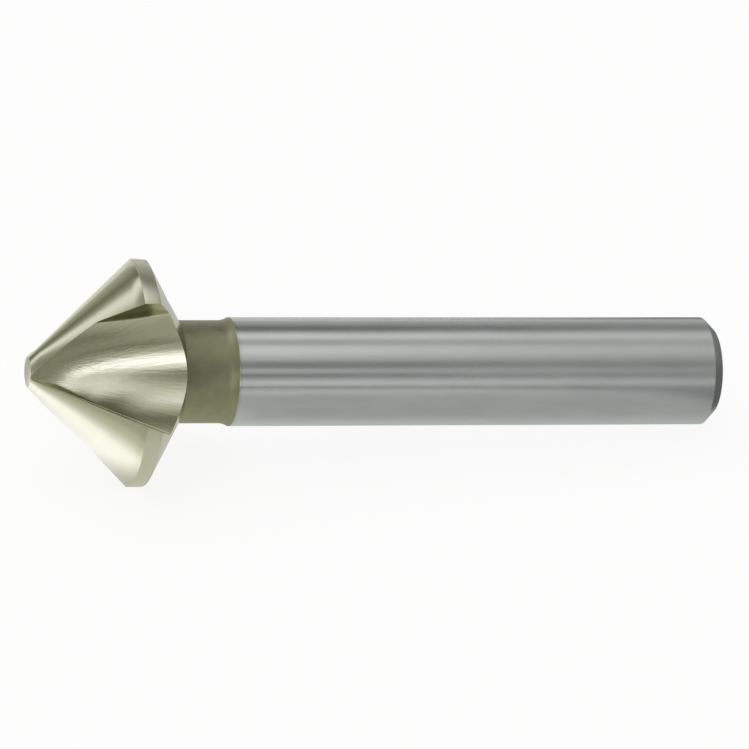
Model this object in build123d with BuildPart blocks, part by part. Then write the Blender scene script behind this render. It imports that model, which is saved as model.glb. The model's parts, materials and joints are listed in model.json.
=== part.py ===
from build123d import *
import os
from math import asin, atan2, cos, degrees, radians, sin, tan

# A three-flute 90 degree countersink bit, cut and ground from one bar of tool steel.
# It lies at rest on a flat surface: two corners of the head's rim and the lower edge of the
# shank's end touch it. The tool runs along X, with its point at -X and its shank at +X,
# and the origin is on the surface, under the middle of the tool.

# Turned blank, measured along its axis from the flat point
overall_length = 65.0
head_diameter = 21.0
point_angle = 90.0
point_flat_diameter = 2.8
rim_width = 1.4
back_cone_angle = 120.0
neck_diameter = 9.44
neck_length = 3.85
shoulder_length = 1.0
shank_diameter = 10.0
end_chamfer = 1.0

# Flutes. A section across a flute has its floor between a rake wall and a heel wall.
# Heights are measured from the tool's axis, along the flute's own direction.
flute_angles = (0.0, 125.0, 232.0)
floor_height_at_point = 1.15
floor_rise_angle = 14.2
rake_wall_offset_at_point = 0.53
rake_wall_spread_angle = 20.79
rake_wall_lean_angle = 6.2
rake_corner_height_at_point = 1.2
rake_corner_rise_angle = 17.2
heel_wall_offset_at_point = 2.05
heel_wall_spread_angle = 2.0
heel_wall_lean_angle = 22.3
heel_corner_height_at_point = 4.0
heel_corner_rise_angle = 11.3
flute_overrun = 1.5

# Radii and places along the axis that follow from the sizes above
head_radius = head_diameter / 2
point_flat_radius = point_flat_diameter / 2
neck_radius = neck_diameter / 2
shank_radius = shank_diameter / 2
rim_front = (head_radius - point_flat_radius) / tan(radians(point_angle / 2))
rim_back = rim_front + rim_width
neck_front = rim_back + (head_radius - neck_radius) / tan(radians(back_cone_angle / 2))
neck_back = neck_front + neck_length
shank_front = neck_back + shoulder_length
shank_back = overall_length - end_chamfer

# The shoulder is an arc that leaves the neck along it and ends at the shank's corner
shoulder_step = shank_radius - neck_radius
shoulder_radius = (shoulder_length**2 + shoulder_step**2) / (2 * shoulder_step)
shoulder_half_turn = asin(shoulder_length / shoulder_radius) / 2
shoulder_middle = (
    neck_back + shoulder_radius * sin(shoulder_half_turn),
    neck_radius + shoulder_radius * (1 - cos(shoulder_half_turn)),
)


def along(value_at_point, angle, station):
    """A size that grows by a fixed angle along the axis."""
    return value_at_point + station * tan(radians(angle))


def wall_point(offset, lean, height):
    """The point at this height on a wall that leans and passes the axis at this offset."""
    return (offset / cos(radians(lean)) + height * tan(radians(lean)), height)


def rake_offset(station):
    """How far the rake wall passes from the axis at this place along it."""
    return along(rake_wall_offset_at_point, rake_wall_spread_angle, station)


def heel_offset(station):
    """How far the heel wall passes from the axis at this place along it."""
    return along(heel_wall_offset_at_point, heel_wall_spread_angle, station)


def flute_section(flute_plane, station):
    """The section of one flute at this place along the axis, on that flute's own plane."""
    outside = head_diameter
    rake_corner_height = along(rake_corner_height_at_point, rake_corner_rise_angle, station)
    heel_corner_height = along(heel_corner_height_at_point, heel_corner_rise_angle, station)
    rake_corner = wall_point(-rake_offset(station), -rake_wall_lean_angle, rake_corner_height)
    heel_corner = wall_point(heel_offset(station), heel_wall_lean_angle, heel_corner_height)
    floor_middle = (0, along(floor_height_at_point, floor_rise_angle, station))
    rake_outside = wall_point(-rake_offset(station), -rake_wall_lean_angle, outside)
    heel_outside = wall_point(heel_offset(station), heel_wall_lean_angle, outside)
    with BuildSketch(flute_plane.offset(station)) as section:
        with BuildLine():
            ThreePointArc(rake_corner, floor_middle, heel_corner)
            Polyline(heel_corner, heel_outside, rake_outside, rake_corner)
        make_face()
    return section.sketch


# The bit lies with its first flute down, so that flute's middle direction points at the surface
rake_edge_angle = -rake_wall_lean_angle - degrees(asin(rake_offset(rim_back) / head_radius))
heel_edge_angle = heel_wall_lean_angle + degrees(asin(heel_offset(rim_back) / head_radius))
flute_middle_angle = (rake_edge_angle + heel_edge_angle) / 2
flute_half_angle = (heel_edge_angle - rake_edge_angle) / 2
rim_contact_depth = head_radius * cos(radians(flute_half_angle))
rest_tilt = degrees(atan2(rim_contact_depth - shank_radius, shank_back - rim_back))

# The bit along X, with the flat point at the origin
with BuildPart() as bit:
    with BuildSketch(Plane.XY):
        with BuildLine():
            Polyline(
                (0, 0),
                (0, point_flat_radius),
                (rim_front, head_radius),
                (rim_back, head_radius),
                (neck_front, neck_radius),
                (neck_back, neck_radius),
            )
            ThreePointArc(
                (neck_back, neck_radius), shoulder_middle, (shank_front, shank_radius)
            )
            Polyline(
                (shank_front, shank_radius),
                (shank_back, shank_radius),
                (overall_length, shank_radius - end_chamfer),
                (overall_length, 0),
                (0, 0),
            )
        make_face()
    revolve(axis=Axis.X)

    for flute_angle in flute_angles:
        turn = 180 - flute_angle + flute_middle_angle
        flute_plane = Plane.YZ.rotated((turn, 0, 0))
        sections = [
            flute_section(flute_plane, station)
            for station in (-flute_overrun, neck_front + flute_overrun)
        ]
        loft(sections, ruled=True, mode=Mode.SUBTRACT)

# The bit tilted onto its rim and shank end, and set down on the surface
with BuildPart() as lying_bit:
    with Locations(Rotation(0, rest_tilt, 0)):
        add(bit.part)
box = lying_bit.part.bounding_box()

with BuildPart() as countersink_bit:
    with Locations((-box.center().X, -box.center().Y, -box.min.Z)):
        add(lying_bit.part)
countersink_bit.part.label = "countersink_bit"

os.makedirs("parts", exist_ok=True)
export_step(countersink_bit.part, "parts/countersink_bit.step")
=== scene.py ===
import json
import logging
import math
from dataclasses import dataclass, field
from enum import Enum
from typing import Optional, Union

import bmesh
import bpy
from mathutils import Euler, Matrix, Vector


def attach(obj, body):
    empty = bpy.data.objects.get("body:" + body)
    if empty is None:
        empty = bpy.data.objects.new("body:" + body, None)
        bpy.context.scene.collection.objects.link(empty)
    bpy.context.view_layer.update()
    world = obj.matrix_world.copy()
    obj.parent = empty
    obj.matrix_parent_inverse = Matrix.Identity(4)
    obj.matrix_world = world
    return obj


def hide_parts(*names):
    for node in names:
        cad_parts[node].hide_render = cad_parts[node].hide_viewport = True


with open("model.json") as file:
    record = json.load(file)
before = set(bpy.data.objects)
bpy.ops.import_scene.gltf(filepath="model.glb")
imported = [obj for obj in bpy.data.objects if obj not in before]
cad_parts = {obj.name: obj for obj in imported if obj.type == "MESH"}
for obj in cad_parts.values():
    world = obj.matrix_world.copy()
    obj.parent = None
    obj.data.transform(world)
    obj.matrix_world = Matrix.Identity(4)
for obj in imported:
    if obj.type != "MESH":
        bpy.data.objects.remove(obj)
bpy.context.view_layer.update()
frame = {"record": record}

logging.basicConfig(level=logging.INFO, format="%(message)s")
log = logging.getLogger("countersink_bit")

MM = 0.001
BODY = "root"
NODE = "countersink_bit"
END_MOUNT = "shank_end"

Socket = bpy.types.NodeSocket
Span = tuple[float, float]
Colour = tuple[float, float, float]
Bands = tuple[tuple[float, float], ...]


class Surface(Enum):
    """The places on the bit that are finished differently, in the order of its material slots."""

    HEAD = 0
    NECK = 1
    SHANK = 2
    FLUTE = 3
    RIM = 4


def along(start: float, angle: float, station: float) -> float:
    """A size that grows by a fixed angle, in degrees, along the axis."""
    return start + station * math.tan(math.radians(angle))


@dataclass
class Blank:
    """The turned blank that the flutes are ground into, in millimetres and degrees."""

    length: float = 65.0
    head_radius: float = 10.5
    point_radius: float = 1.4
    point_angle: float = 90.0
    rim_width: float = 1.4
    back_angle: float = 120.0
    neck_radius: float = 4.72
    neck_length: float = 3.85
    shoulder_length: float = 1.0
    shank_radius: float = 5.0
    chamfer: float = 1.0
    edge_round: float = 0.04
    round_steps: int = 2
    round_profile: float = 0.5
    corner_angle: float = 25.0
    shoulder_steps: int = 6
    turns: int = 288
    weld: float = 1e-5
    cone_cuts: int = 11

    def __post_init__(self) -> None:
        """Works out the places along the axis, from the point."""
        point_slope = math.tan(math.radians(self.point_angle / 2))
        back_slope = math.tan(math.radians(self.back_angle / 2))
        self.rim_front = (self.head_radius - self.point_radius) / point_slope
        self.rim_back = self.rim_front + self.rim_width
        self.neck_front = self.rim_back + (self.head_radius - self.neck_radius) / back_slope
        self.neck_back = self.neck_front + self.neck_length
        self.shank_front = self.neck_back + self.shoulder_length

    def shoulder(self) -> list[Span]:
        """The arc from the neck up to the shank.

        Returns:
            The places along the axis and the radii, without the arc's first point.
        """
        run = self.shank_front - self.neck_back
        step = self.shank_radius - self.neck_radius
        radius = (run**2 + step**2) / (2 * step)
        whole = math.asin(run / radius)
        angles = [whole * k / self.shoulder_steps for k in range(1, self.shoulder_steps + 1)]
        return [
            (
                self.neck_back + radius * math.sin(a),
                self.neck_radius + radius * (1 - math.cos(a)),
            )
            for a in angles
        ]

    def outline(self) -> list[Span]:
        """The blank's half profile, from the middle of the point to the middle of the shank's end."""
        end = self.length
        return [
            (0.0, 0.0),
            (0.0, self.point_radius),
            (self.rim_front, self.head_radius),
            (self.rim_back, self.head_radius),
            (self.neck_front, self.neck_radius),
            (self.neck_back, self.neck_radius),
            *self.shoulder(),
            (end - self.chamfer, self.shank_radius),
            (end, self.shank_radius - self.chamfer),
            (end, 0.0),
        ]

    def long_cone_edges(self, bm: bmesh.types.BMesh) -> list[bmesh.types.BMEdge]:
        """The edges of the head's two cones that run along the axis."""
        shortest, least_run, margin = 2.0, 1.0, 0.1
        return [
            e
            for e in bm.edges
            if e.calc_length() > shortest
            and abs(e.verts[0].co.x - e.verts[1].co.x) > least_run
            and max(v.co.x for v in e.verts) < self.neck_front + margin
        ]

    def build(self) -> bmesh.types.BMesh:
        """Spins the profile about the axis and rounds its corners a little.

        Returns:
            The closed blank, in the bit's own frame.
        """
        bm = bmesh.new()
        verts = [bm.verts.new((x, 0.0, r)) for x, r in self.outline()]
        edges = [bm.edges.new(pair) for pair in zip(verts, verts[1:])]
        bmesh.ops.spin(
            bm,
            geom=verts + edges,
            cent=(0, 0, 0),
            axis=(1, 0, 0),
            angle=math.tau,
            steps=self.turns,
            use_merge=True,
        )
        bmesh.ops.remove_doubles(bm, verts=bm.verts[:], dist=self.weld)
        bmesh.ops.recalc_face_normals(bm, faces=bm.faces[:])
        corner = math.radians(self.corner_angle)
        bmesh.ops.bevel(
            bm,
            geom=[e for e in bm.edges if e.calc_face_angle(0.0) > corner],
            offset=self.edge_round,
            affect="EDGES",
            segments=self.round_steps,
            profile=self.round_profile,
            material=-1,
        )
        bmesh.ops.subdivide_edges(
            bm, edges=self.long_cone_edges(bm), cuts=self.cone_cuts, use_grid_fill=True
        )
        return bm

    def surface_at(self, centre: Vector) -> Surface:
        """The finish that a face of the blank gets, from the place of its middle."""
        if self.rim_front < centre.x < self.rim_back:
            return Surface.RIM
        if centre.x < self.neck_front:
            return Surface.HEAD
        if centre.x < self.shank_front:
            return Surface.NECK
        return Surface.SHANK


@dataclass
class Rest:
    """How the bit lies: the bit's own frame runs along +X from the middle of its point."""

    blank: Blank

    def matrix(self) -> Matrix:
        """The turn and move from the bit's own frame, in metres, to the row frame.

        Both follow from the frame's mount on the shank's end, which is on the bit's axis.
        """
        end = next(m for m in frame["record"]["mounts"] if m["name"] == END_MOUNT)
        axis = Vector(end["axis"])
        point = Vector(end["pos_m"]) - axis * self.blank.length * MM
        return Matrix.Translation(point) @ Matrix.Rotation(math.atan2(-axis.z, axis.x), 4, "Y")


@dataclass
class Flutes:
    """The three ground flutes, in millimetres and degrees, as the CAD solid has them."""

    blank: Blank
    spacing: tuple[float, ...] = (0.0, 125.0, 232.0)
    floor_height: float = 1.15
    floor_rise: float = 14.2
    rake_offset: float = 0.53
    rake_spread: float = 20.79
    rake_lean: float = 6.2
    rake_corner: float = 1.2
    rake_corner_rise: float = 17.2
    heel_offset: float = 2.05
    heel_spread: float = 2.0
    heel_lean: float = 22.3
    heel_corner: float = 4.0
    heel_corner_rise: float = 11.3
    overrun: float = 1.5
    corner_round: float = 0.2
    round_steps: int = 6
    floor_steps: int = 72
    length_cuts: int = 47
    level: float = 1e-6

    def __post_init__(self) -> None:
        """Works out where the cutters end and how far one is turned to face straight down."""
        rim_back, head_radius = self.blank.rim_back, self.blank.head_radius
        self.first, self.last = -self.overrun, self.blank.neck_front + self.overrun
        self.outside = 2 * head_radius
        rake = along(self.rake_offset, self.rake_spread, rim_back)
        heel = along(self.heel_offset, self.heel_spread, rim_back)
        rake_edge = -self.rake_lean - math.degrees(math.asin(rake / head_radius))
        heel_edge = self.heel_lean + math.degrees(math.asin(heel / head_radius))
        self.middle = (rake_edge + heel_edge) / 2

    def corners(self, station: float) -> tuple[Vector, Vector, Vector, Vector, Vector]:
        """The section's corners at this place along the axis.

        Args:
            station: the distance from the point, along the axis.

        Returns:
            The rake corner, the floor's middle, the heel corner, and the two far corners.
        """

        def wall(offset: float, lean: float, height: float) -> Vector:
            slope = math.radians(lean)
            side = offset / math.cos(slope) + height * math.tan(slope)
            return Vector((side, height))

        rake = -along(self.rake_offset, self.rake_spread, station)
        heel = along(self.heel_offset, self.heel_spread, station)
        rake_height = along(self.rake_corner, self.rake_corner_rise, station)
        heel_height = along(self.heel_corner, self.heel_corner_rise, station)
        return (
            wall(rake, -self.rake_lean, rake_height),
            Vector((0.0, along(self.floor_height, self.floor_rise, station))),
            wall(heel, self.heel_lean, heel_height),
            wall(heel, self.heel_lean, self.outside),
            wall(rake, -self.rake_lean, self.outside),
        )

    def rounding(self, wall: Vector, corner: Vector, floor: Vector) -> list[Vector]:
        """The rounded corner between a wall and the floor, from the wall to the floor.

        Args:
            wall: a point on the wall, a little way from the corner.
            corner: the sharp corner.
            floor: a point on the floor, as far from the corner.

        Returns:
            The points of the rounding, without its last one.
        """
        steps = [k / self.round_steps for k in range(self.round_steps)]
        return [(1 - t) ** 2 * wall + 2 * t * (1 - t) * corner + t**2 * floor for t in steps]

    def loop(self, bm: bmesh.types.BMesh, station: float) -> list[bmesh.types.BMEdge]:
        """Draws the section's outline: the rounded corners, the floor's arc by a spin, the far side.

        Args:
            bm: the mesh that the outline is drawn in.
            station: the distance from the point, along the axis.

        Returns:
            The outline's edges.
        """
        rake, floor, heel, heel_out, rake_out = self.corners(station)
        centre, angle = arc_through(rake, floor, heel)
        trim = math.copysign(self.corner_round / (rake - centre).length, angle)
        arc_start = centre + Matrix.Rotation(trim, 2) @ (rake - centre)
        arc_end = centre + Matrix.Rotation(-trim, 2) @ (heel - centre)
        rake_wall = rake + (rake_out - rake).normalized() * self.corner_round
        heel_wall = heel + (heel_out - heel).normalized() * self.corner_round
        start = bm.verts.new((station, arc_start.x, arc_start.y))
        swept = bmesh.ops.spin(
            bm,
            geom=[start],
            cent=(station, centre.x, centre.y),
            axis=(1, 0, 0),
            angle=angle - 2 * trim,
            steps=self.floor_steps,
        )
        heel_round = self.rounding(heel_wall, heel, arc_end)[::-1]
        rake_round = self.rounding(rake_wall, rake, arc_start)
        rest = [*heel_round, heel_out, rake_out, *rake_round]
        chain = [swept["geom_last"][0], *[bm.verts.new((station, *p)) for p in rest], start]
        for pair in zip(chain, chain[1:]):
            bm.edges.new(pair)
        return [e for e in bm.edges if all(abs(v.co.x - station) < self.level for v in e.verts)]

    def build(self, spacing: float) -> bmesh.types.BMesh:
        """The closed cutter for one flute, in the bit's own frame.

        Args:
            spacing: the angle from the flute that faces down, turning towards -Y.

        Returns:
            The cutter, with its long edges divided so that its curved floor stays smooth.
        """
        bm = bmesh.new()
        ends = self.loop(bm, self.first) + self.loop(bm, self.last)
        bmesh.ops.bridge_loops(bm, edges=ends)
        least_run = 1.0
        lengthwise = [e for e in bm.edges if abs(e.verts[0].co.x - e.verts[1].co.x) > least_run]
        bmesh.ops.subdivide_edges(
            bm, edges=lengthwise, cuts=self.length_cuts, use_grid_fill=True
        )
        bmesh.ops.holes_fill(bm, edges=bm.edges[:], sides=0)
        bmesh.ops.recalc_face_normals(bm, faces=bm.faces[:])
        turn = math.radians(180 - spacing + self.middle)
        bmesh.ops.rotate(
            bm, cent=(0, 0, 0), matrix=Matrix.Rotation(turn, 3, "X"), verts=bm.verts[:]
        )
        return bm


def arc_through(a: Vector, b: Vector, c: Vector) -> tuple[Vector, float]:
    """The centre and the signed turn of the arc from a through b to c, in a plane.

    Args:
        a: the arc's first point.
        b: a point on it.
        c: its last point.

    Returns:
        The centre, and the angle in radians from a to c that passes b.
    """
    d = 2 * (a.x * (b.y - c.y) + b.x * (c.y - a.y) + c.x * (a.y - b.y))
    squares = [p.length_squared for p in (a, b, c)]
    centre = Vector(
        (
            (squares[0] * (b.y - c.y) + squares[1] * (c.y - a.y) + squares[2] * (a.y - b.y)) / d,
            (squares[0] * (c.x - b.x) + squares[1] * (a.x - c.x) + squares[2] * (b.x - a.x)) / d,
        )
    )

    def bearing(p: Vector) -> float:
        return math.atan2(p.y - centre.y, p.x - centre.x)

    return centre, (bearing(c) - bearing(a) + math.pi) % math.tau - math.pi


class NodeSheet:
    """A node tree, with short ways to add the nodes that this scene uses."""

    def __init__(self, tree: bpy.types.NodeTree) -> None:
        """Opens the tree.

        Args:
            tree: the tree of a material or a world.
        """
        self.nodes = tree.nodes
        self.links = tree.links

    def add(self, kind: str, **inputs: object) -> bpy.types.Node:
        """Adds a node and sets the inputs that are given by name, with _ for a space."""
        node = self.nodes.new(f"ShaderNode{kind}")
        for name, value in inputs.items():
            self.feed(node.inputs[name.replace("_", " ")], value)
        return node

    def feed(self, socket: Socket, value: object) -> None:
        """Sets an input to a value, or joins it to another node's output."""
        if isinstance(value, Socket):
            self.links.new(value, socket)
        else:
            socket.default_value = value

    def math(self, operation: str, *terms: Union[float, Socket]) -> Socket:
        """The result of a math operation on these numbers or outputs."""
        node = self.add("Math")
        node.operation = operation
        for socket, term in zip(node.inputs, terms):
            self.feed(socket, term)
        return node.outputs["Value"]

    def split(self, vector: Socket) -> bpy.types.NodeOutputs:
        """A vector's X, Y and Z."""
        return self.add("SeparateXYZ", Vector=vector).outputs

    def place(self, value: Socket, span: Span, ends: Span = (0.0, 1.0), soft: bool = False) -> Socket:
        """A value's place in a span, turned into a place between two ends and kept there.

        Args:
            value: the value that is placed.
            span: where the change starts and stops.
            ends: the results there.
            soft: whether the change eases in and out.

        Returns:
            The place's output.
        """
        node = self.add(
            "MapRange", From_Min=span[0], From_Max=span[1], To_Min=ends[0], To_Max=ends[1]
        )
        if soft:
            node.interpolation_type = "SMOOTHSTEP"
        self.feed(node.inputs["Value"], value)
        return node.outputs["Result"]

    def blend(self, factor: Socket, first: object, second: object) -> Socket:
        """A mix of two colours, each a value or an output."""
        node = self.add("Mix")
        node.data_type = "RGBA"
        for key, value in (("Factor", factor), ("A", first), ("B", second)):
            self.feed(node.inputs[key], value)
        return node.outputs["Result"]

    def ramp(self, value: Socket, span: Span, bands: Bands, warm: bool) -> Socket:
        """A light's colour along its bands.

        Args:
            value: where on the bands, from 0 to 1.
            span: the first and the last place of the bands.
            bands: the places and the strengths there.
            warm: whether the light is a warm one.

        Returns:
            The colour's output.
        """
        node = self.add("ValToRGB", Fac=value)
        stops = node.color_ramp.elements
        while len(stops) < len(bands):
            stops.new(1.0)
        for stop, (place, strength) in zip(stops, bands):
            stop.position = (place - span[0]) / (span[1] - span[0])
            stop.color = (*tint(strength, warm), 1)
        return node.outputs["Color"]


def tint(strength: float, warm: bool) -> Colour:
    """The colour of a light: a warm one is yellow where it is dim and bluish where strong."""
    if not warm:
        return (strength, strength, strength)
    full_strength = 1.3
    red_when_dim, red_gain = 0.96, 0.06
    blue_when_dim, blue_gain = 0.74, 0.33
    level = min(strength, full_strength)
    return (
        strength * (red_when_dim + red_gain * level),
        strength,
        strength * (blue_when_dim + blue_gain * level),
    )


@dataclass(frozen=True)
class SteelFinish:
    """A ground or turned steel surface: its colour, its gloss and the marks of the wheel."""

    name: str
    colour: Colour
    roughness: float
    end_roughness: Optional[float] = None
    anisotropy: float = 0.0
    fans_out: bool = False
    mark_scale: tuple[float, float, float] = (400.0, 400.0, 400.0)
    mark_bump: float = 0.0
    tone_spread: float = 0.05
    stain_colour: Optional[Colour] = None


@dataclass
class FinishNodes:
    """Builds one steel material, with its patterns in the bit's own frame, in metres."""

    finish: SteelFinish
    rest: Rest
    fan_apex: float = -0.002
    shank_span: Span = (0.022, 0.065)
    stain_span: Span = (0.0182, 0.0190)
    gloss_spread: Span = (0.85, 1.15)
    mark_detail: float = 4.0
    mark_roughness: float = 0.6

    def __post_init__(self) -> None:
        """Starts the material."""
        self.material = bpy.data.materials.new(self.finish.name)
        self.material.use_nodes = True
        self.sheet = NodeSheet(self.material.node_tree)
        self.shader = self.sheet.nodes["Principled BSDF"]

    def bit_place(self) -> Socket:
        """The surface point in the bit's own frame, in metres from the point of the bit."""
        inverse = self.rest.matrix().inverted()
        turned = self.sheet.add(
            "Mapping",
            Location=inverse.to_translation(),
            Rotation=inverse.to_euler(),
            Vector=self.sheet.add("TexCoord").outputs["Object"],
        )
        return turned.outputs["Vector"]

    def fan(self, place: Socket) -> Socket:
        """A place in which lines that meet near the point run side by side."""
        parts = self.sheet.split(place)
        reach = self.sheet.math("SUBTRACT", parts["X"], self.fan_apex)
        sides = {key: self.sheet.math("DIVIDE", parts[key], reach) for key in "YZ"}
        return self.sheet.add("CombineXYZ", X=parts["X"], **sides).outputs["Vector"]

    def marks(self, place: Socket) -> Socket:
        """The wheel's marks, which fan out from the point where the finish says so."""
        if self.finish.fans_out:
            place = self.fan(place)
        stretched = self.sheet.add("Mapping", Scale=self.finish.mark_scale, Vector=place)
        noise = self.sheet.add(
            "TexNoise",
            Scale=1.0,
            Detail=self.mark_detail,
            Roughness=self.mark_roughness,
            Vector=stretched.outputs["Vector"],
        )
        return noise.outputs["Fac"]

    def along(self, place: Socket, span: Span, ends: Span) -> Socket:
        """A value that changes along the bit, over a span in metres from its point."""
        return self.sheet.place(self.sheet.split(place)["X"], span, ends)

    def colour(self, marks: Socket, place: Socket) -> None:
        """Varies the steel's tone a little along the marks, and stains it where asked to."""
        spread = self.finish.tone_spread
        dark, light = [
            (*[min(1, c * gain) for c in self.finish.colour], 1) for gain in (1 - spread, 1 + spread)
        ]
        steel = self.sheet.blend(marks, dark, light)
        if self.finish.stain_colour:
            stained = self.along(place, self.stain_span, (1.0, 0.0))
            steel = self.sheet.blend(stained, steel, (*self.finish.stain_colour, 1))
        self.sheet.feed(self.shader.inputs["Base Color"], steel)

    def gloss(self, marks: Socket, place: Socket) -> None:
        """Sets the roughness, which grows towards the shank's end where the finish says so."""
        start = self.finish.roughness
        base = self.along(place, self.shank_span, (start, self.finish.end_roughness or start))
        spread = self.sheet.place(marks, (0.0, 1.0), self.gloss_spread)
        rough = self.sheet.math("MULTIPLY", base, spread)
        self.sheet.feed(self.shader.inputs["Roughness"], rough)

    def relief(self, marks: Socket) -> None:
        """Raises the marks by a hair."""
        bump = self.sheet.add("Bump", Strength=1.0, Distance=self.finish.mark_bump, Height=marks)
        self.sheet.feed(self.shader.inputs["Normal"], bump.outputs["Normal"])

    def brush(self) -> None:
        """Turns the gloss along the bit's axis."""
        direction = self.rest.matrix().to_3x3() @ Vector((1, 0, 0))
        axis = self.sheet.add("CombineXYZ", **dict(zip("XYZ", direction)))
        self.sheet.feed(self.shader.inputs["Tangent"], axis.outputs["Vector"])

    def build(self) -> bpy.types.Material:
        """Joins the nodes.

        Returns:
            The finished material.
        """
        self.shader.inputs["Metallic"].default_value = 1.0
        self.shader.inputs["Anisotropic"].default_value = self.finish.anisotropy
        place = self.bit_place()
        marks = self.marks(place)
        self.colour(marks, place)
        self.gloss(marks, place)
        if self.finish.mark_bump:
            self.relief(marks)
        if self.finish.anisotropy:
            self.brush()
        return self.material


OLIVE = (0.39, 0.40, 0.245)

FINISHES = {
    Surface.HEAD: SteelFinish(
        name="ground_cone_steel",
        colour=(0.64, 0.65, 0.47),
        roughness=0.15,
        anisotropy=0.6,
        mark_scale=(1800.0, 90.0, 90.0),
        mark_bump=0.4e-6,
    ),
    Surface.NECK: SteelFinish(
        name="dull_neck_steel",
        colour=OLIVE,
        roughness=0.42,
        mark_scale=(900.0, 900.0, 900.0),
        tone_spread=0.22,
    ),
    Surface.SHANK: SteelFinish(
        name="ground_shank_steel",
        colour=(0.725, 0.76, 0.73),
        roughness=0.2,
        end_roughness=0.36,
        anisotropy=0.6,
        mark_scale=(160.0, 600.0, 600.0),
        tone_spread=0.13,
        stain_colour=OLIVE,
    ),
    Surface.FLUTE: SteelFinish(
        name="ground_flute_steel",
        colour=(0.64, 0.65, 0.48),
        roughness=0.11,
        anisotropy=0.5,
        fans_out=True,
        mark_scale=(45.0, 45.0, 45.0),
        mark_bump=7e-6,
        tone_spread=0.12,
    ),
    # The rim is the cone's ground steel with its colour painted lighter: painted light that brightens
    # the whole rim.
    Surface.RIM: SteelFinish(
        name="ground_rim_steel_painted_lighter",
        colour=(0.76, 0.77, 0.59),
        roughness=0.3,
        anisotropy=0.6,
        mark_scale=(1800.0, 90.0, 90.0),
        mark_bump=0.4e-6,
    ),
}


@dataclass
class CountersinkBit:
    """The whole bit: its blank, its flutes, how it lies, and its finishes."""

    blank: Blank = field(default_factory=Blank)
    smooth_below: float = 22.0

    def __post_init__(self) -> None:
        """Gives the flutes and the resting place the same blank."""
        self.flutes = Flutes(self.blank)
        self.rest = Rest(self.blank)

    def build(self) -> bpy.types.Object:
        """Cuts the flutes into the blank, sets the faces' finishes and lays the bit down.

        Returns:
            The bit's object, at the origin, with its place in its mesh.
        """
        body = make_object("bit_blank", self.blank.build())
        for face in body.data.polygons:
            face.material_index = self.blank.surface_at(face.center).value
        for surface in Surface:
            body.data.materials.append(FinishNodes(FINISHES[surface], self.rest).build())
        cutters = [
            make_object(f"flute_cutter_{k}", self.flutes.build(spacing))
            for k, spacing in enumerate(self.flutes.spacing)
        ]
        for cutter in cutters:
            for surface in Surface:
                cutter.data.materials.append(body.data.materials[surface.value])
            for face in cutter.data.polygons:
                face.material_index = Surface.FLUTE.value
            cut = body.modifiers.new(cutter.name, "BOOLEAN")
            cut.object = cutter
            cut.operation = "DIFFERENCE"
            cut.solver = "EXACT"
        mesh = bpy.data.meshes.new_from_object(
            body.evaluated_get(bpy.context.evaluated_depsgraph_get())
        )
        for spent in (body, *cutters):
            bpy.data.objects.remove(spent)
        mesh.transform(self.rest.matrix() @ Matrix.Scale(MM, 4))
        mesh.shade_smooth()
        mesh.set_sharp_from_angle(angle=math.radians(self.smooth_below))
        bit = bpy.data.objects.new("ground_bit", mesh)
        bpy.context.scene.collection.objects.link(bit)
        even = bit.modifiers.new("even_normals", "WEIGHTED_NORMAL")
        even.keep_sharp = True
        return bit


def make_object(name: str, bm: bmesh.types.BMesh) -> bpy.types.Object:
    """An object at the origin that holds this mesh.

    Args:
        name: the object's name.
        bm: its mesh, which is freed.

    Returns:
        The linked object.
    """
    mesh = bpy.data.meshes.new(name)
    bm.to_mesh(mesh)
    bm.free()
    made = bpy.data.objects.new(name, mesh)
    bpy.context.scene.collection.objects.link(made)
    return made


@dataclass(frozen=True)
class LightArch:
    """Soft light over one stretch of the sky, in bands that run along the bit.

    Each band is an angle in degrees from the front horizon over the top to the back one,
    with the light's strength there. Arches follow each other from left to right, and each
    but the first fades in between two places along X on the sky's unit sphere.
    """

    bands: Bands
    fade: Optional[Span] = None
    warm: bool = True


@dataclass(frozen=True)
class FloorStrip:
    """How bright the floor looks in the steel, in bands from front to back.

    Each band is a place in millimetres along Y with the strength there. Strips follow each
    other from left to right, and each but the first fades in between two places along X.
    The bands of a slanted strip run askew to X, by this slope.
    """

    bands: Bands
    fade: Optional[Span] = None
    slant: float = 0.0
    warm: bool = True
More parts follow.
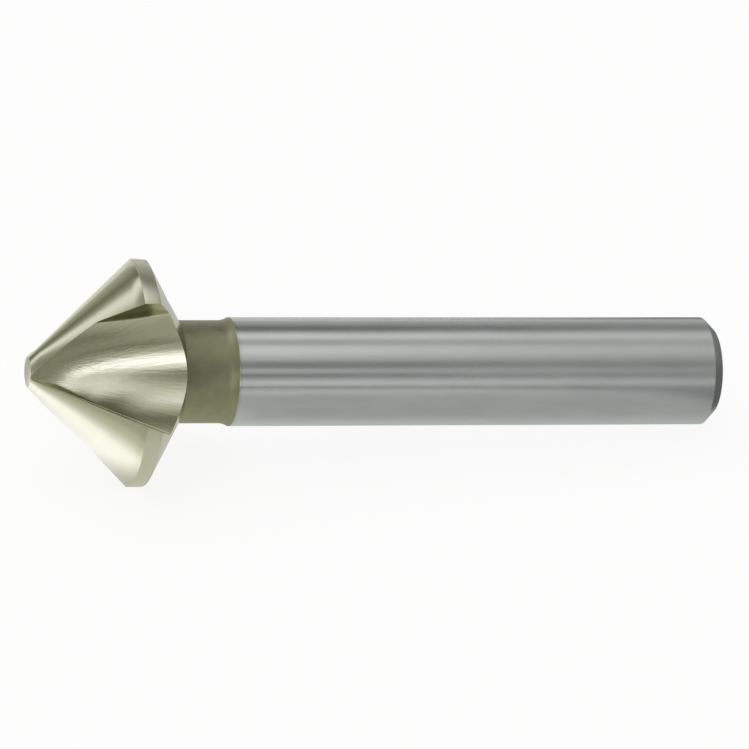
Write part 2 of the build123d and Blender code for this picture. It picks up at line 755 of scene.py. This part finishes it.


# Most strengths in ARCHES and STRIPS are rounded results of a least-squares fit of test renders
# to the photograph, made in a scratch script. The others were worked out from its brightness at
# a few spots, or set one by one.
ARCHES = (
    LightArch(
        bands=(
            (0, 0.6), (92, 0.35), (115, 0.3), (136, 0.4), (143, 1.0), (151, 1.15),
            (157, 0.35), (165, 0.2), (180, 0.2),
        ),
    ),
    LightArch(
        fade=(-0.5, -0.42),
        bands=(
            (0, 0.25), (3, 0.3), (6, 0.5), (9, 1.1), (13, 1.1), (18, 0.95), (22, 0.8),
            (26, 0.4), (30, 0.1), (45, 0.05), (70, 0.5), (130, 0.6), (156, 0.1),
            (165, 0.28), (180, 0.48),
        ),
    ),
    LightArch(
        fade=(-0.33, -0.25),
        bands=(
            (0, 0.25), (3, 0.4), (6, 1.6), (9, 1.6), (12, 0.75), (18, 0.95), (25, 1.02),
            (31, 0.95), (35, 0.5), (40, 0.15), (55, 0.05), (60, 0.4), (80, 0.7), (180, 0.75),
        ),
    ),
    LightArch(
        fade=(-0.18, -0.1),
        bands=(
            (0, 0.4), (4, 1.15), (8, 1.9), (11, 1.7), (15, 0.8), (18, 0.25), (22, 0.2),
            (26, 0.35), (30, 0.6), (35, 0.9), (40, 1.1), (45, 0.8), (50, 0.45), (55, 0.2),
            (60, 0.22), (68, 0.45), (73, 0.7), (82, 0.1), (92, 0.17), (100, 0.7),
            (108, 1.2), (115, 1.55), (122, 1.4), (129, 0.85), (137, 0.28), (143, 0.1),
            (180, 0.6),
        ),
    ),
    LightArch(
        fade=(0.0, 0.12),
        bands=(
            (0, 0.5), (8, 0.58), (15, 0.46), (24, 0.17), (31, 0.48), (36, 0.48), (40, 0.2),
            (50, 0.25), (58, 0.52), (75, 0.74), (86, 0.72), (94, 0.44), (102, 0.45),
            (110, 0.74), (118, 0.67), (132, 0.18), (141, 0.16), (153, 0.34), (170, 0.44),
            (180, 0.9),
        ),
        warm=False,
    ),
    LightArch(fade=(0.4, 0.55), bands=((0, 0.08), (90, 0.25), (180, 0.25)), warm=False),
)

STRIPS = (
    FloorStrip(
        bands=(
            (-250, 0.5), (-180, 0.2), (-100, 0.25), (-80, 0.32), (-65, 0.38), (-52, 0.27),
            (-42, 0.22), (-35, 0.28), (-27, 0.5), (-20, 0.5), (-17, 0.65), (-14, 0.72),
            (-11, 1.05), (-8.5, 1.45), (-5, 1.45), (0, 1.25), (12, 0.55), (80, 0.9),
        ),
        slant=0.57,
    ),
    FloorStrip(
        fade=(-29, -24),
        bands=((-250, 0.5), (-42, 0.43), (-21, 0.58), (-9, 0.62), (30, 0.58), (80, 0.7)),
    ),
    FloorStrip(
        fade=(-15, -10),
        bands=(
            (-250, 0.55), (-100, 0.42), (-65, 0.5), (-42, 0.58), (-30, 0.47), (-20, 0.43),
            (-6, 0.43), (-3, 0.55), (30, 0.6), (80, 0.7),
        ),
        warm=False,
    ),
    FloorStrip(fade=(33, 36), bands=((-250, 0.12), (80, 0.15)), warm=False),
)


@dataclass(frozen=True)
class PhotoCamera:
    """A camera fitted to the photograph's outline of the bit, in millimetres and degrees."""

    lens: float = 288.3845
    sensor: float = 36.0
    place: tuple[float, float, float] = (-119.39618, -449.31474, 306.77863)
    turn: tuple[float, float, float] = (57.103856, -3.896277, -12.366433)
    clip_m: Span = (0.01, 50.0)

    def build(self) -> None:
        """Makes the camera and gives it to the scene."""
        data = bpy.data.cameras.new("photo_camera")
        data.lens = self.lens
        data.sensor_width = self.sensor
        data.clip_start, data.clip_end = self.clip_m
        camera = bpy.data.objects.new("photo_camera", data)
        camera.location = Vector(self.place) * MM
        camera.rotation_euler = Euler([math.radians(a) for a in self.turn])
        bpy.context.scene.collection.objects.link(camera)
        bpy.context.scene.camera = camera


@dataclass
class Studio:
    """The pale floor, the soft light round the bit and the photograph's camera."""

    floor_size: float = 6.0
    floor_lift: float = 0.85
    floor_tone: float = 0.3
    slant_span: tuple[float, float, float] = (-60.0, -30.0, -15.0)
    camera: PhotoCamera = PhotoCamera()

    def world(self) -> None:
        """Lights the world with the arches, from left to right."""
        world = bpy.data.worlds.new("studio_light")
        bpy.context.scene.world = world
        world.use_nodes = True
        sheet = NodeSheet(world.node_tree)
        sky = sheet.split(sheet.add("TexCoord").outputs["Generated"])
        towards_front = sheet.math("MULTIPLY", sky["Y"], -1.0)
        around = sheet.math("ARCTAN2", sky["Z"], towards_front)
        place = sheet.place(around, (0.0, math.pi))
        light = None
        for arch in ARCHES:
            bands = sheet.ramp(place, (0, 180), arch.bands, arch.warm)
            if arch.fade:
                light = sheet.blend(sheet.place(sky["X"], arch.fade, soft=True), light, bands)
            else:
                light = bands
        to_camera = sheet.add("LightPath").outputs["Is Camera Ray"]
        background = sheet.nodes["Background"]
        sheet.feed(background.inputs["Color"], sheet.blend(to_camera, light, (1, 1, 1, 1)))
        background.inputs["Strength"].default_value = 1.0

    def strip_light(self, sheet: NodeSheet, ground: bpy.types.NodeOutputs, strip: FloorStrip) -> Socket:
        """The light of one strip of the floor, as the steel shows it.

        Args:
            sheet: the floor material's nodes.
            ground: the place on the floor, in metres.
            strip: the strip.

        Returns:
            The light's colour.
        """
        left, middle, right = [x * MM for x in self.slant_span]
        ends = (strip.slant * (left - middle), strip.slant * (right - middle))
        shift = sheet.place(ground["X"], (left, right), ends)
        depth = sheet.math("ADD", ground["Y"], shift)
        span = (strip.bands[0][0], strip.bands[-1][0])
        place = sheet.place(depth, (span[0] * MM, span[1] * MM))
        return sheet.ramp(place, span, strip.bands, strip.warm)

    def floor_light(self, sheet: NodeSheet) -> Socket:
        """The floor's light in the steel, from strip to strip.

        Args:
            sheet: the floor material's nodes.

        Returns:
            The light's colour.
        """
        ground = sheet.split(sheet.add("TexCoord").outputs["Object"])
        light = None
        for strip in STRIPS:
            bands = self.strip_light(sheet, ground, strip)
            if strip.fade:
                fade = (strip.fade[0] * MM, strip.fade[1] * MM)
                light = sheet.blend(sheet.place(ground["X"], fade, soft=True), light, bands)
            else:
                light = bands
        return light

    def floor(self) -> None:
        """Lays the pale floor, which keeps the bit's soft shadow.

        It is matt and lifted towards white for the camera, and the steel sees its strips.
        """
        bm = bmesh.new()
        bmesh.ops.create_grid(bm, x_segments=1, y_segments=1, size=self.floor_size / 2)
        ground = make_object("studio_floor", bm)
        mat = bpy.data.materials.new("pale_floor")
        mat.use_nodes = True
        sheet = NodeSheet(mat.node_tree)
        sheet.nodes.remove(sheet.nodes["Principled BSDF"])
        rays = sheet.add("LightPath").outputs
        mirrored = sheet.math("MAXIMUM", rays["Is Glossy Ray"], rays["Is Transmission Ray"])
        matt = sheet.add("BsdfDiffuse", Color=(*[self.floor_tone] * 3, 1))
        lift = sheet.math("MULTIPLY", rays["Is Camera Ray"], self.floor_lift)
        glow = sheet.add("Emission", Strength=lift)
        in_steel = sheet.add("Emission", Color=self.floor_light(sheet))
        lit = sheet.add("AddShader")
        both = sheet.add("MixShader")
        sheet.feed(lit.inputs[0], matt.outputs["BSDF"])
        sheet.feed(lit.inputs[1], glow.outputs["Emission"])
        sheet.feed(both.inputs["Fac"], mirrored)
        sheet.feed(both.inputs[1], lit.outputs["Shader"])
        sheet.feed(both.inputs[2], in_steel.outputs["Emission"])
        sheet.feed(sheet.nodes["Material Output"].inputs["Surface"], both.outputs["Shader"])
        ground.data.materials.append(mat)

    def build(self) -> None:
        """Makes the light, the floor and the camera."""
        self.world()
        self.floor()
        self.camera.build()


def main() -> None:
    """Builds the bit and its studio."""
    bpy.context.scene.view_settings.view_transform = "Standard"
    bit = CountersinkBit().build()
    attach(bit, BODY)
    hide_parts(NODE)
    log.info("bit: %d faces", len(bit.data.polygons))
    Studio().build()
    log.info("studio ready")


if __name__ == "__main__":
    main()
